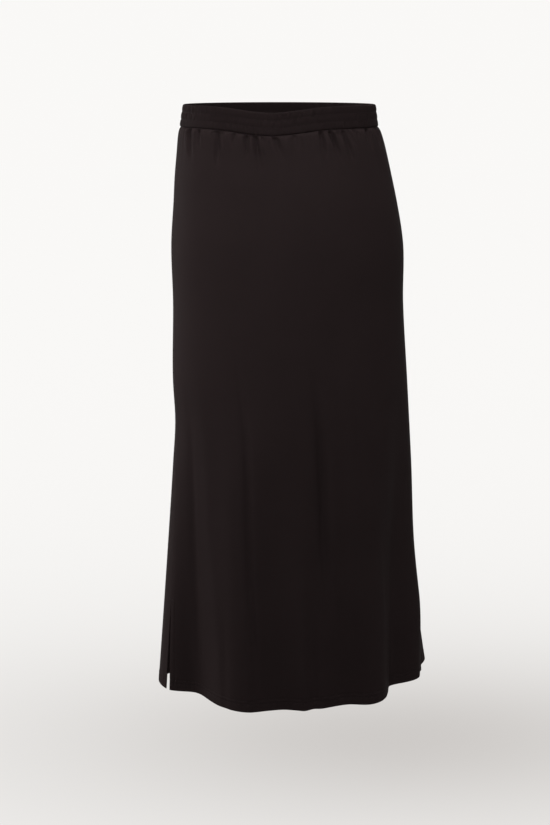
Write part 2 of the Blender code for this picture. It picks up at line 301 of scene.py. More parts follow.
@dataclass
class SkirtForm:
    """The skirt's worn form: an oval at every level, with folds, gathers and creases on it."""

    back_dip: float = 0.010
    back_dip_angle: float = 5.0
    back_dip_spread: float = 24.0
    fold_power: float = 1.35
    puff: float = 0.0015
    puff_drop: float = 0.014
    gather_rise: float = 0.006
    gather_gain: float = 3.7
    gather_spread: float = 1.45
    gather_reach: float = 0.78
    gather_fade: float = 0.8
    shoulder: float = 0.22
    shoulder_place: float = 1.15
    shoulder_width: float = 0.5
    seam_tuck: float = 0.0013
    tuck_length: float = 0.0022
    ripple: float = 0.00042
    ripple_drop: float = 0.022
    crease_rise: float = 0.45
    crease_fade: float = 0.30
    slope_step: float = 0.0002
    gathers: list[Gather] = field(default_factory=list)

    def __post_init__(self) -> None:
        """Gives the front the back's gathers, the other way round."""
        turned = [
            replace(g, angle=float(wrapped(FRONT_GATHER_SHIFT - g.angle)), turn=-g.turn)
            for g in GATHERS
        ]
        self.gathers = [*GATHERS, *turned]

    def section(self, drop: np.ndarray, column: str) -> np.ndarray:
        """One column of the sections' table, read smoothly at each drop."""
        drops, values = np.array([(level.drop, getattr(level, column)) for level in SECTIONS]).T
        return along_table(drop, drops, values)

    def depth(self, angle: np.ndarray, drop: np.ndarray) -> np.ndarray:
        """How far the oval reaches from its middle, behind or in front."""
        behind = np.cos(np.radians(angle)) > 0
        return np.where(behind, self.section(drop, "back"), self.section(drop, "front"))

    def oval(
        self, angle: np.ndarray, drop: np.ndarray, out: np.ndarray
    ) -> tuple[np.ndarray, np.ndarray]:
        """The oval's point, moved out square to the oval.

        Args:
            angle: Degrees round the skirt.
            drop: Metres below the seam.
            out: How far the point is moved.

        Returns:
            X and Y.
        """
        turn = np.radians(angle)
        wide, deep = self.section(drop, "half_width"), self.depth(angle, drop)
        size = np.hypot(deep * np.sin(turn), wide * np.cos(turn))
        x = self.section(drop, "shift") + wide * np.sin(turn) + out * deep * np.sin(turn) / size
        y = deep * np.cos(turn) + out * wide * np.cos(turn) / size
        return x, y

    def degrees_per_metre(self, angle: np.ndarray, drop: np.ndarray) -> np.ndarray:
        """How far round the oval a metre of cloth goes.

        Args:
            angle: Degrees round the skirt.
            drop: Metres below the seam.

        Returns:
            Degrees for each metre.
        """
        turn = np.radians(angle)
        wide = self.section(drop, "half_width") * np.cos(turn)
        return np.degrees(1.0 / np.hypot(wide, self.depth(angle, drop) * np.sin(turn)))

    def seam_height(self, angle: np.ndarray) -> np.ndarray:
        """The height of the waistband's lower seam: level, with a bell-shaped dip behind."""
        dip = bell(wrapped(angle - self.back_dip_angle) / self.back_dip_spread)
        return -BAND_HEIGHT / 2 - self.back_dip * dip

    def fold_out(self, angle: np.ndarray, share: np.ndarray) -> np.ndarray:
        """The long folds: each fades to its neighbours by a smooth step, and grows down.

        Args:
            angle: Degrees round the skirt.
            share: The drop as a share of the whole.

        Returns:
            How far out the cloth stands.
        """
        angles = [fold.top + (fold.hem - fold.top) * share for fold in FOLDS]
        total = np.zeros(np.broadcast(angle, share).shape)
        for k, fold in enumerate(FOLDS):
            before = (angles[k - 1] - angles[k]) % 360.0
            after = (angles[k] - angles[(k + 1) % len(FOLDS)]) % 360.0
            off = wrapped(angle - angles[k])
            near = smooth_step(1.0 - np.where(off > 0, off / before, -off / after))
            grown = np.clip((share - fold.start) / (1.0 - fold.start), 0.0, 1.0) ** self.fold_power
            total = total + fold.out * grown * near
        return total

    def gather_out(self, angle: np.ndarray, drop: np.ndarray) -> np.ndarray:
        """The gathers: a puff under the seam, less troughs with a low shoulder on each side.

        A trough is deeper and shorter than its solid's, because real cloth is finer than that wall.

        Args:
            angle: Degrees round the skirt.
            drop: Metres below the seam.

        Returns:
            How far out the cloth stands.
        """
        total = self.puff * (drop / self.puff_drop) * np.exp(1.0 - drop / self.puff_drop)
        for gather in self.gathers:
            reach = gather.length * self.gather_reach
            centre = gather.angle + gather.turn * drop / gather.length
            wide = gather.half_width * self.gather_spread
            half = wide * self.degrees_per_metre(np.array(gather.angle), np.array(0.0))
            off = np.abs(wrapped(angle - centre)) / half
            trough = smooth_step(1.0 - off)
            shoulder = self.shoulder * bell((off - self.shoulder_place) / self.shoulder_width)
            down = smooth_step(drop / self.gather_rise)
            down = down * smooth_step(1.0 - drop / reach) ** self.gather_fade
            total = total - gather.depth * self.gather_gain * (trough - shoulder) * down
        return total

    def ripple_out(self, angle: np.ndarray, drop: np.ndarray) -> np.ndarray:
        """Fine puckers under the seam: waves of unlike length round the skirt, fading down."""
        down = smooth_step(drop / self.gather_rise) * np.exp(-drop / self.ripple_drop)
        return self.ripple * wrinkles(RIPPLES, np.radians(angle)) * down

    def crease_out(self, angle: np.ndarray, drop: np.ndarray, share: np.ndarray) -> np.ndarray:
        """The listed creases: bell-shaped across, rising and fading along their length.

        Args:
            angle: Degrees round the skirt.
            drop: Metres below the seam.
            share: The drop as a share of the whole.

        Returns:
            How far out the cloth stands.
        """
        total = np.zeros(np.broadcast(angle, share).shape)
        for crease in CREASES:
            along = (share - crease.start) / (crease.end - crease.start)
            centre = crease.top + (crease.bottom - crease.top) * along
            across = wrapped(angle - centre) / self.degrees_per_metre(centre, drop) / crease.width
            rise = smooth_step(along / self.crease_rise)
            fade = smooth_step((1.0 - along) / self.crease_fade)
            total = total + crease.out * bell(across) * rise * fade
        return total

    def points(self, angle: np.ndarray, drop: np.ndarray) -> np.ndarray:
        """The cloth's outer face: the oval, moved out by folds, gathers, puckers and creases.

        Args:
            angle: Degrees round the skirt.
            drop: Metres below the seam, of the same shape or one that broadcasts.

        Returns:
            The points, with X, Y and Z on the last axis.
        """
        angle, drop = np.broadcast_arrays(angle, drop)
        share = drop / SKIRT_DROP
        out = self.fold_out(angle, share) + self.gather_out(angle, drop)
        out = out + self.ripple_out(angle, drop) + self.crease_out(angle, drop, share)
        out = out - self.seam_tuck * np.exp(-drop / self.tuck_length)
        x, y = self.oval(angle, drop, out)
        top = self.seam_height(angle)
        return np.stack([x, y, top + (HEM_HEIGHT - top) * share], axis=-1)

    def way_out(self, angle: np.ndarray, drop: np.ndarray) -> np.ndarray:
        """The way straight out of the cloth, square to its slopes across and down.

        Args:
            angle: Degrees round the skirt.
            drop: Metres below the seam.

        Returns:
            Unit vectors on the last axis.
        """
        step = self.slope_step
        across = self.points(angle + step, drop) - self.points(angle - step, drop)
        down = self.points(angle, drop + step) - self.points(angle, drop - step)
        out = np.cross(across, down)
        return out / np.linalg.norm(out, axis=-1, keepdims=True)


@dataclass
class Value:
    """A number that varies over a surface: a node's socket, with arithmetic."""

    bench: "Bench"
    socket: Any

    def _with(self, operation: str, *others: Any) -> "Value":
        """One Math node on this number and others."""
        return self.bench.math(operation, self, *others)

    def __add__(self, other: Any) -> "Value":
        """The sum."""
        return self._with("ADD", other)

    def __radd__(self, other: Any) -> "Value":
        """The sum, with a plain number first."""
        return self._with("ADD", other)

    def __sub__(self, other: Any) -> "Value":
        """The difference."""
        return self._with("SUBTRACT", other)

    def __rsub__(self, other: Any) -> "Value":
        """The difference, with a plain number first."""
        return self.bench.math("SUBTRACT", other, self)

    def __mul__(self, other: Any) -> "Value":
        """The product."""
        return self._with("MULTIPLY", other)

    def __rmul__(self, other: Any) -> "Value":
        """The product, with a plain number first."""
        return self._with("MULTIPLY", other)

    def __truediv__(self, other: Any) -> "Value":
        """The quotient."""
        return self._with("DIVIDE", other)

    def __rtruediv__(self, other: Any) -> "Value":
        """The quotient, with a plain number first."""
        return self.bench.math("DIVIDE", other, self)

    def sine(self) -> "Value":
        """The sine."""
        return self._with("SINE")

    def size(self) -> "Value":
        """The number without its sign."""
        return self._with("ABSOLUTE")


class Bench:
    """The nodes of a material or a sky, and the one way that new ones are added to them."""

    def __init__(self, owner: Any, shader: str = "Principled BSDF") -> None:
        """Turns the owner's nodes on, and finds the shader that it starts with.

        Args:
            owner: The material or sky.
            shader: The shader node's name.
        """
        owner.use_nodes = True
        self.owner = owner
        self.tree = owner.node_tree
        self.shader = self.tree.nodes[shader]

    def plug(self, socket: Any, given: Any) -> None:
        """Links a socket to what is given, or sets its value.

        Args:
            socket: The input.
            given: A number that varies, an output, or a plain value.
        """
        if isinstance(given, Value):
            given = given.socket
        if isinstance(given, bpy.types.NodeSocket):
            self.tree.links.new(given, socket)
        else:
            socket.default_value = given

    def add(self, kind: str, settings: dict[str, Any] | None = None, **sockets: Any) -> Any:
        """Adds a node: its settings are set first, then its sockets.

        Args:
            kind: The node's type.
            settings: Values for the node's own properties.
            sockets: Values or links by socket name, with spaces as underscores. in0, in1 and so
                on go by place.

        Returns:
            The node.
        """
        node = self.tree.nodes.new(kind)
        for key, value in (settings or {}).items():
            setattr(node, key, value)
        for key, given in sockets.items():
            place = int(key[2:]) if key[:2] == "in" and key[2:].isdigit() else key.replace("_", " ")
            self.plug(node.inputs[place], given)
        return node

    def math(self, operation: str, *numbers: Any) -> Value:
        """A Math node on up to three numbers."""
        sockets = {f"in{i}": number for i, number in enumerate(numbers)}
        node = self.add("ShaderNodeMath", {"operation": operation}, **sockets)
        return Value(self, node.outputs[0])

    def vector_math(self, operation: str, *vectors: Any) -> Any:
        """A Vector Math node on one or two vectors."""
        sockets = {f"in{i}": vector for i, vector in enumerate(vectors)}
        node = self.add("ShaderNodeVectorMath", {"operation": operation}, **sockets)
        return node.outputs["Vector"]

    def bump(self, height: Value, strength: float, distance: float) -> Any:
        """A bumped normal."""
        node = self.add("ShaderNodeBump", None, Strength=strength, Distance=distance, Height=height)
        return node.outputs["Normal"]

    def blend(self, share: Any, first: Any, second: Any) -> Any:
        """A mix of two colours, by a share.

        Args:
            share: 0 gives the first and 1 the second.
            first: A colour or a link.
            second: A colour or a link.

        Returns:
            The mixed colour's socket.
        """
        node = self.add("ShaderNodeMix", {"data_type": "RGBA"}, in0=share, in6=first, in7=second)
        return node.outputs[2]

    def noise(self, vector: Any, scale: float, detail: float = 2.0) -> Value:
        """Smooth noise, from 0 to 1."""
        node = self.add("ShaderNodeTexNoise", None, Vector=vector, Scale=scale, Detail=detail)
        return Value(self, node.outputs["Fac"])

    def coordinate(self, output: str) -> Any:
        """A place or a way, from the coordinates of what is shaded."""
        return self.add("ShaderNodeTexCoord").outputs[output]

    def split(self, vector: Any) -> list[Value]:
        """A vector's X, Y and Z."""
        parts = self.add("ShaderNodeSeparateXYZ", None, Vector=vector).outputs
        return [Value(self, part) for part in parts]

    def backdrop(self, place: Any) -> Any:
        """The studio's brightness, by the way a place lies: white before the camera, grey behind.

        Args:
            place: Where it is, from the middle of the studio.

        Returns:
            The colour's socket.
        """
        way = self.vector_math("NORMALIZE", place)
        share = self.add(
            "ShaderNodeMapRange",
            {"interpolation_type": "SMOOTHSTEP"},
            Value=self.split(way)[1],
            From_Min=BACKDROP_START,
            From_Max=BACKDROP_END,
        ).outputs["Result"]
        return self.blend(share, (*BACKDROP_WHITE, 1.0), (*BACKDROP_GREY, 1.0))

    def surface(self, **sockets: Any) -> None:
        """Sets or links the shader's sockets."""
        for key, given in sockets.items():
            self.plug(self.shader.inputs[key.replace("_", " ")], given)


@dataclass(frozen=True)
class JerseyFinish:
    """Fine single jersey: wales and courses as bump, matt, with a slight mottle, and painted shade
    in the grooves between the wales.
    """

    name: str
    colour: tuple[float, float, float]
    light: tuple[float, float, float]
    roughness: float = 0.56
    polish: float = 0.10
    specular: float = 0.0028
    wale: float = 0.00075
    course: float = 0.00060
    chevron: float = 2.2
    loop_share: float = 0.35
    fuzz_share: float = 0.25
    relief: float = 0.00005
    bump: float = 0.55
    mottle_scale: float = 14.0
    fuzz_scale: float = 900.0
    shades: tuple[float, float, float] = (0.6, 0.25, 0.15)

    def material(self) -> bpy.types.Material:
        """The knit: each wale is a rounded rib, crossed by chevrons that are its loops.

        Returns:
            The material.
        """
        bench = Bench(bpy.data.materials.new(self.name))
        cloth = bench.add("ShaderNodeUVMap", {"uv_map": UV_NAME}).outputs["UV"]
        across, down, _ = bench.split(cloth)
        rib = (across * (math.pi / self.wale)).sine().size()
        loops = (down * (2 * math.pi / self.course) + rib * self.chevron).sine()
        place = bench.coordinate("Object")
        mottle = bench.noise(place, self.mottle_scale, detail=3.0)
        fuzz = bench.noise(place, self.fuzz_scale)
        height = rib * (loops * self.loop_share + (1.0 - self.loop_share)) + fuzz * self.fuzz_share
        # Mottle and fuzz vary the tone at random; the rib's share darkens the grooves between the
        # wales and lightens their crests, a painted shade.
        shade = mottle * self.shades[0] + fuzz * self.shades[1] + rib * self.shades[2]
        bench.surface(
            Base_Color=bench.blend(shade, (*self.colour, 1.0), (*self.light, 1.0)),
            Roughness=mottle * self.polish + (self.roughness - self.polish / 2),
            Normal=bench.bump(height, self.bump, self.relief),
            Specular_IOR_Level=self.specular,
        )
        return bench.owner


@dataclass(frozen=True)
class ThreadFinish:
    """Twisted sewing thread: near black, a little glossier than the cloth."""

    name: str = "thread"
    colour: tuple[float, float, float] = (0.0075, 0.0052, 0.0054)
    light: tuple[float, float, float] = (0.0130, 0.0092, 0.0094)
    roughness: float = 0.50
    polish: float = 0.08
    specular: float = 0.03
    twist_rate: float = 9000.0
    twist_lean: float = 1.4
    relief: float = 0.00003
    bump: float = 0.4

    def material(self) -> bpy.types.Material:
        """The twist is a fine diagonal wave in bump, and in colour as a painted shade: darker in
        its grooves, lighter on its crests.

        Returns:
            The material.
        """
        bench = Bench(bpy.data.materials.new(self.name))
        x, y, z = bench.split(bench.coordinate("Object"))
        twist = ((x + y + z * self.twist_lean) * self.twist_rate).sine() * 0.5 + 0.5
        bench.surface(
            Base_Color=bench.blend(twist, (*self.colour, 1.0), (*self.light, 1.0)),
            Roughness=twist * self.polish + self.roughness,
            Normal=bench.bump(twist, self.bump, self.relief),
            Specular_IOR_Level=self.specular,
        )
        return bench.owner


@dataclass(frozen=True)
class FloorWithPaintedShadow:
    """A paper floor that glows: far out it is as bright as the backdrop, and round the middle it is
    greyer, a painted shadow under and beyond the skirt.
    """

    name: str = "floor"
    # near is the painted shadow's colour at its middle, where matt lets the lamps add a little;
    # middle and reach place and size the painted shadow.
    near: tuple[float, float, float] = (0.60, 0.578, 0.560)
    matt: tuple[float, float, float] = (0.012, 0.0116, 0.0112)
    middle: tuple[float, float] = (-0.22, -0.28)
    reach: tuple[float, float] = (0.72, 0.48)
    forward: tuple[float, float, float] = (0.0, 0.4, 0.0)

    def material(self) -> bpy.types.Material:
        """The painted shadow's share is one over one plus the squares of X and Y from its middle,
        by their reach.

        Returns:
            The material.
        """
        bench = Bench(bpy.data.materials.new(self.name))
        place = bench.coordinate("Object")
        x, y = (
            (part - middle) / reach
            for part, middle, reach in zip(bench.split(place), self.middle, self.reach)
        )
        # The painted shadow's share: 1 at its middle, falling towards 0 far out.
        share = 1.0 / (x * x + y * y + 1.0)
        backdrop = bench.backdrop(bench.vector_math("SUBTRACT", place, self.forward))
        bench.surface(
            Base_Color=bench.blend(share, (0.0, 0.0, 0.0, 1.0), (*self.matt, 1.0)),
            # The floor glows: the backdrop's colour far out, and the painted shadow's colour round
            # the middle.
            Emission_Color=bench.blend(share, backdrop, (*self.near, 1.0)),
            Emission_Strength=1.0,
            Roughness=1.0,
            Specular_IOR_Level=0.0,
        )
        return bench.owner


JERSEY = JerseyFinish("knit_jersey", (0.0110, 0.0078, 0.0079), (0.0150, 0.0106, 0.0107))
# The waistband's jersey: the same knit with both colours about a fifth darker, a painted shade on
# the band.
SHADED_BAND_JERSEY = JerseyFinish("band_jersey_painted_shade", (0.0086, 0.0060, 0.0061), (0.0117, 0.0082, 0.0083))


def show(name: str, data: Any) -> bpy.types.Object:
    """An object at the origin for a mesh, a lamp or a camera, in the scene.

    Args:
        name: The object's name.
        data: What it shows.

    Returns:
        The object.
    """
    made = bpy.data.objects.new(name, data)
    bpy.context.scene.collection.objects.link(made)
    return made


def link(mesh: bpy.types.Mesh, material: bpy.types.Material) -> bpy.types.Object:
    """An object that shows a mesh in one material, smoothly shaded.

    Args:
        mesh: The mesh, with its place in its vertices.
        material: The material.

    Returns:
        The object.
    """
    mesh.shade_smooth()
    mesh.materials.append(material)
    return show(mesh.name, mesh)


def grid_faces(
    rows: int, columns: int, round_rows: bool = False, round_columns: bool = False
) -> np.ndarray:
    """The quads of a grid whose vertices are numbered row by row.

    Args:
        rows: Vertices down.
        columns: Vertices across.
        round_rows: Whether the last row joins the first.
        round_columns: Whether the last column joins the first.

    Returns:
        Four vertex numbers a face.
    """
    i, j = np.meshgrid(
        np.arange(rows if round_rows else rows - 1),
        np.arange(columns if round_columns else columns - 1),
        indexing="ij",
    )
    below, beside = (i + 1) % rows, (j + 1) % columns
    corners = [i * columns + j, below * columns + j, below * columns + beside, i * columns + beside]
    return np.stack(corners, axis=-1).reshape(-1, 4)


def quad_mesh(
    name: str, points: np.ndarray, faces: np.ndarray, uv: np.ndarray | None = None
) -> bpy.types.Mesh:
    """A mesh of quads.

    Args:
        name: The mesh's name, and its object's.
        points: The vertices.
        faces: Four vertex numbers a face.
        uv: A place on the cloth for each face corner, in metres.

    Returns:
        The mesh.
    """
    mesh = bpy.data.meshes.new(name)
    mesh.vertices.add(len(points))
    mesh.vertices.foreach_set("co", points.astype(np.float32).ravel())
    mesh.loops.add(faces.size)
    mesh.loops.foreach_set("vertex_index", faces.astype(np.int32).ravel())
    mesh.polygons.add(len(faces))
    mesh.polygons.foreach_set("loop_start", np.arange(0, faces.size, 4, dtype=np.int32))
    if uv is not None:
        layer = mesh.uv_layers.new(name=UV_NAME)
        layer.data.foreach_set("uv", uv.astype(np.float32).ravel())
    mesh.update(calc_edges=True)
    mesh.validate()
    return mesh


@dataclass
class Stitches:
    """Rows of sewing thread on the cloth: each stitch is a short tube that dips in at both ends."""

    length: float = 0.0026
    gap: float = 0.0007
    radius: float = 0.00022
    stand: float = 0.00012
    blunt: float = 0.04
    sides: int = 6
    rings: int = 6

    def tubes(self, line: np.ndarray, out: np.ndarray) -> tuple[np.ndarray, np.ndarray]:
        """Stitches laid end to end along a line on the cloth.

        A ring's centre follows the line. Its height over the cloth is the sine of the way along the
        stitch, and its width the square root of that sine.

        Args:
            line: Points on the cloth, close together.
            out: The way out of the cloth at each.

        Returns:
            The vertices, and the quads that join them.
        """
        far = np.concatenate([[0.0], np.cumsum(np.linalg.norm(np.diff(line, axis=0), axis=1))])
        count = max(1, int(far[-1] / (self.length + self.gap)))
        pitch = far[-1] / count
        along = np.linspace(0.0, 1.0, self.rings)
        middle = (np.arange(count)[:, None] + 0.5) * pitch
        place = middle + (along - 0.5)[None, :] * (pitch - self.gap)
        centre = np.stack([np.interp(place, far, line[:, k]) for k in range(3)], axis=-1)
        lift = np.stack([np.interp(place, far, out[:, k]) for k in range(3)], axis=-1)
        lift /= np.linalg.norm(lift, axis=-1, keepdims=True)
        forward = centre[:, -1:] - centre[:, :1]
        aside = np.cross(np.broadcast_to(forward, lift.shape), lift)
        aside /= np.linalg.norm(aside, axis=-1, keepdims=True)
        arch = np.sin(np.pi * (self.blunt + (1.0 - 2 * self.blunt) * along))
        centre = centre + lift * (self.stand * (2.0 * arch - 1.0))[None, :, None]
        turn = np.linspace(0.0, 2 * np.pi, self.sides, endpoint=False)
        wide = (self.radius * np.sqrt(arch))[None, :, None, None]
        ring = np.cos(turn)[:, None] * aside[:, :, None] + np.sin(turn)[:, None] * lift[:, :, None]
        points = (centre[:, :, None] + wide * ring).reshape(-1, 3)
        tube = grid_faces(self.rings, self.sides, round_columns=True)
        faces = [self._repeated(part, count) for part in (tube, self._ends())]
        return points, np.concatenate(faces)

    def _repeated(self, faces: np.ndarray, count: int) -> np.ndarray:
        """One stitch's faces, for every stitch of a row."""
        starts = np.arange(count) * self.rings * self.sides
        return (faces[None] + starts[:, None, None]).reshape(-1, 4)

    def _ends(self) -> np.ndarray:
        """The quads that close both ends of a stitch, as strips across a six-sided ring."""
        first = np.array([[0, 1, 2, 3], [0, 3, 4, 5]])
        return np.concatenate([first, (self.rings - 1) * self.sides + first[:, ::-1]])

    def piece(self, name: str, rows: list[Line], material: bpy.types.Material) -> bpy.types.Object:
        """All the stitches of some rows, as one object.

        Args:
            name: The object's name.
            rows: For each row, its line and the ways out of the cloth along it.
            material: The thread.

        Returns:
            The object.
        """
        points: list[np.ndarray] = []
        faces: list[np.ndarray] = []
        total = 0
        for line, out in rows:
            row_points, row_faces = self.tubes(line, out)
            points.append(row_points)
            faces.append(row_faces + total)
            total += len(row_points)
        return link(quad_mesh(name, np.concatenate(points), np.concatenate(faces)), material)


@dataclass
class Panel:
    """The back or front of the skirt: a thin wall with a turned hem and turned slit edges."""

    side: Side
    form: SkirtForm
    wall: float = 0.0009
    seam_gap: float = 0.00008
    slit_length: float = 0.150
    slit_gap: float = 0.010
    left_seam: tuple[float, float] = (82.0, 67.0)
    right_seam: tuple[float, float] = (-96.0, -112.0)
    edge: float = 0.00055
    edge_turn: float = 0.92
    hem: float = 0.020
    hem_step: float = 0.004
    hem_rows: tuple[float, float] = (0.0125, 0.0180)
    slit_turn: float = 0.010
    slit_step: float = 0.002
    slit_onset: float = 0.006
    slit_row: float = 0.0085
    row_end: float = 0.002
    allowance: float = 0.008
    slit_extra: float = 0.002
    lining_step: float = 0.001
    turned: float = 0.0006
    puff: float = 0.00024
    groove: float = 0.00030
    groove_width: float = 0.0010
    hem_pucker: float = 0.00022
    pucker_height: float = 0.013
    pucker_spread: float = 0.009
    tack_rows: int = 5
    tack_pitch: float = 0.0005
    tack_inset: float = 0.0006
    cut_length: float = 0.95
    cut_top: float = 0.50
    cut_hem: dict[Side, float] = field(default_factory=lambda: {Side.BACK: 0.66, Side.FRONT: 0.72})
    hips_drop: float = 0.45
    middle_columns: int = 236
    rows_through_gathers: int = 46
    rows_crowding: float = 1.25
    gathers_end: float = 0.090
    rows_down: int = 60
    hem_points: int = 900
    slit_points: int = 200
    tack_points: int = 40
    edge_columns: tuple[float, ...] = (
        0.0, 0.0001, 0.0003, 0.0006, 0.0012, 0.0022, 0.0038, 0.0056, 0.0070, 0.0078,
        0.0085, 0.0092, 0.0100, 0.0112, 0.0130, 0.0155, 0.0185,
    )  # fmt: skip
    hem_columns: tuple[float, ...] = (
        0.0, 0.0001, 0.0003, 0.0006, 0.0012, 0.0022, 0.0040, 0.0065, 0.0090, 0.0108, 0.0116, 0.0121,
        0.0125, 0.0129, 0.0134, 0.0143, 0.0155, 0.0167, 0.0173, 0.0177, 0.0180, 0.0184, 0.0190,
        0.0200, 0.0215, 0.0240, 0.0280, 0.0330,
    )  # fmt: skip

    def edge_angle(self, seam: tuple[float, float], drop: np.ndarray, way: int) -> np.ndarray:
        """The panel's edge: half the gap off the seam, which widens evenly down the slit.

        Args:
            seam: The seam's angles, at the waistband and at the hem.
            drop: Metres below the waistband's seam.
            way: 1 where the panel lies at larger angles than the seam, and -1 at smaller ones.

        Returns:
            Degrees round the skirt.
        """
        centre = seam[0] + (seam[1] - seam[0]) * drop / SKIRT_DROP
        down_slit = np.clip(self.past_slit_top(drop) / self.slit_length, 0.0, 1.0)
        gap = self.seam_gap + (self.slit_gap - self.seam_gap) * down_slit
        return centre + way * gap / 2 * self.form.degrees_per_metre(centre, drop)

    def edges(self, drop: np.ndarray) -> tuple[np.ndarray, np.ndarray]:
        """The panel's two side edges. The front's last is past 180.

        Args:
            drop: Metres below the waistband's seam.

        Returns:
            The first and the last angle.
        """
        way = 1 if self.side is Side.BACK else -1
        right = self.edge_angle(self.right_seam, drop, way)
        left = self.edge_angle(self.left_seam, drop, -way)
        return (right, left) if self.side is Side.BACK else (left, right + 360.0)

    def inset(self, off: np.ndarray | float, drop: np.ndarray) -> tuple[np.ndarray, np.ndarray]:
        """Lines beside the two side edges.

        Args:
            off: Metres along the cloth from each edge.
            drop: Metres below the waistband's seam.

        Returns:
            The angle beside the first edge, and that beside the last.
        """
        first, last = self.edges(drop)
        near = first + off * self.form.degrees_per_metre(first, drop)
        return near, last - off * self.form.degrees_per_metre(last, drop)

    def from_edge(self, angle: np.ndarray, drop: np.ndarray) -> np.ndarray:
        """The distance along the cloth to the panel's nearer side edge.

        Args:
            angle: Degrees round the skirt.
            drop: Metres below the waistband's seam.

        Returns:
            Metres.
        """
        first, last = self.edges(drop)
        left = (angle - first) / self.form.degrees_per_metre(first, drop)
        right = (last - angle) / self.form.degrees_per_metre(last, drop)
        return np.minimum(left, right)

    def grid(self) -> tuple[np.ndarray, np.ndarray]:
        """Columns close together at the edges, and rows at the gathers and the hem.

        Returns:
            The angles and the drops.
        """
        share = np.linspace(0.0, 1.0, self.rows_through_gathers)
        near_hem = SKIRT_DROP - np.array(self.hem_columns)[::-1]
        gathered = self.gathers_end * share**self.rows_crowding
        down = np.linspace(self.gathers_end, near_hem[0], self.rows_down)[1:-1]
        drop = np.concatenate([gathered, down, near_hem])[:, None]
        start, end = self.inset(np.array(self.edge_columns)[None], drop)
        across = np.linspace(0.0, 1.0, self.middle_columns)[None, 1:-1]
        middle = start[:, -1:] + (end[:, -1:] - start[:, -1:]) * across
        angle = np.concatenate([start, middle, end[:, ::-1]], axis=1)
        return angle, np.broadcast_to(drop, angle.shape)

    def past_slit_top(self, drop: np.ndarray) -> np.ndarray:
        """Metres below the top of the slits."""
        return drop - SKIRT_DROP + self.slit_length

    def in_slit(self, drop: np.ndarray) -> np.ndarray:
        """0 above the slit and 1 in it, by a smooth step."""
        return smooth_step(self.past_slit_top(drop) / self.slit_onset)

    def relief(self, angle: np.ndarray, drop: np.ndarray) -> np.ndarray:
        """How far the sewing moves the outer face: stitch rows pull in, and turned edges puff out.

        Args:
            angle: Degrees round the skirt.
            drop: Metres below the waistband's seam.

        Returns:
            Metres outwards.
        """
        side, up = self.from_edge(angle, drop), SKIRT_DROP - drop
        slit = self.in_slit(drop)
        pulled = slit * bell((side - self.slit_row) / self.groove_width)
        for row in self.hem_rows:
            pulled = np.maximum(pulled, bell((up - row) / self.groove_width))
        puffed = np.maximum(
            smooth_step((self.hem - up) / self.hem_step),
            slit * smooth_step((self.slit_turn - side) / self.slit_step),
        )
        pucker = wrinkles(HEM_PUCKERS, np.radians(angle))
        near_hem = bell((up - self.pucker_height) / self.pucker_spread)
        return self.puff * puffed - self.groove * pulled + self.hem_pucker * pucker * near_hem

    def rounding(self, angle: np.ndarray, drop: np.ndarray) -> np.ndarray:
        """How far each face draws in at an edge, as a quarter circle.

        Args:
            angle: Degrees round the skirt.
            drop: Metres below the waistband's seam.

        Returns:
            Metres inwards.
        """
        near = np.minimum(self.from_edge(angle, drop), SKIRT_DROP - drop)
        left = np.clip(self.edge - near, 0.0, self.edge * self.edge_turn)
        return self.edge - np.sqrt(self.edge**2 - left**2)

    def lining(self, angle: np.ndarray, drop: np.ndarray) -> np.ndarray:
        """The extra thickness inside, where the hem, the slits and the seams are turned in.

        Args:
            angle: Degrees round the skirt.
            drop: Metres below the waistband's seam.

        Returns:
            Metres.
        """
        side, up = self.from_edge(angle, drop), SKIRT_DROP - drop
        hem = smooth_step((self.hem - up) / self.lining_step)
        wide = self.allowance + self.slit_extra * self.in_slit(drop)
        return self.turned * np.maximum(hem, smooth_step((wide - side) / self.lining_step))

    def outer(self, angle: np.ndarray, drop: np.ndarray) -> tuple[np.ndarray, np.ndarray]:
        """The outer face with its sewing relief, and the way out of it.

        Args:
            angle: Degrees round the skirt.
            drop: Metres below the seam.

        Returns:
            The points and the unit vectors.
        """
        out = self.form.way_out(angle, drop)
        moved = self.relief(angle, drop) - self.rounding(angle, drop)
        return self.form.points(angle, drop) + out * moved[..., None], out

    def mesh(self) -> bpy.types.Mesh:
        """The closed wall: outer grid, inner grid turned round, and a rim between their borders.

        Returns:
            The mesh.
        """
        angle, drop = self.grid()
        rows, columns = angle.shape
        outer, out = self.outer(angle, drop)
        deep = self.wall + self.lining(angle, drop) - self.rounding(angle, drop)
        inner = self.form.points(angle, drop) - out * deep[..., None]
        face = grid_faces(rows, columns)
        turned_face = face[:, ::-1] + rows * columns
        border = np.concatenate([
            np.arange(columns),
            np.arange(1, rows) * columns + columns - 1,
            (rows - 1) * columns + np.arange(columns - 2, -1, -1),
            np.arange(rows - 2, 0, -1) * columns,
        ])
        after = np.roll(border, -1)
        rim = np.stack([border, after, after + rows * columns, border + rows * columns], axis=-1)
        faces = np.concatenate([face, turned_face, rim])
        cloth = self.cloth_places(angle, drop)
        places = np.concatenate([cloth, cloth])
        points = np.concatenate([outer.reshape(-1, 3), inner.reshape(-1, 3)])
        return quad_mesh(f"{self.side.value}_cloth", points, faces, places[faces.ravel()])

    def cloth_places(self, angle: np.ndarray, drop: np.ndarray) -> np.ndarray:
        """Where each point lies on the cut cloth, in metres: across at the hips' scale, and down.

        Args:
            angle: Degrees round the skirt.
            drop: Metres below the waistband's seam.

        Returns:
            A place for each point.
        """
        hips = self.form.degrees_per_metre(angle, np.full(angle.shape, self.hips_drop))
        steps = np.diff(angle, axis=1) / hips[:, 1:]
        across = np.concatenate([np.zeros((len(angle), 1)), np.cumsum(steps, axis=1)], axis=1)
        return np.stack([across, drop], axis=-1).reshape(-1, 2)

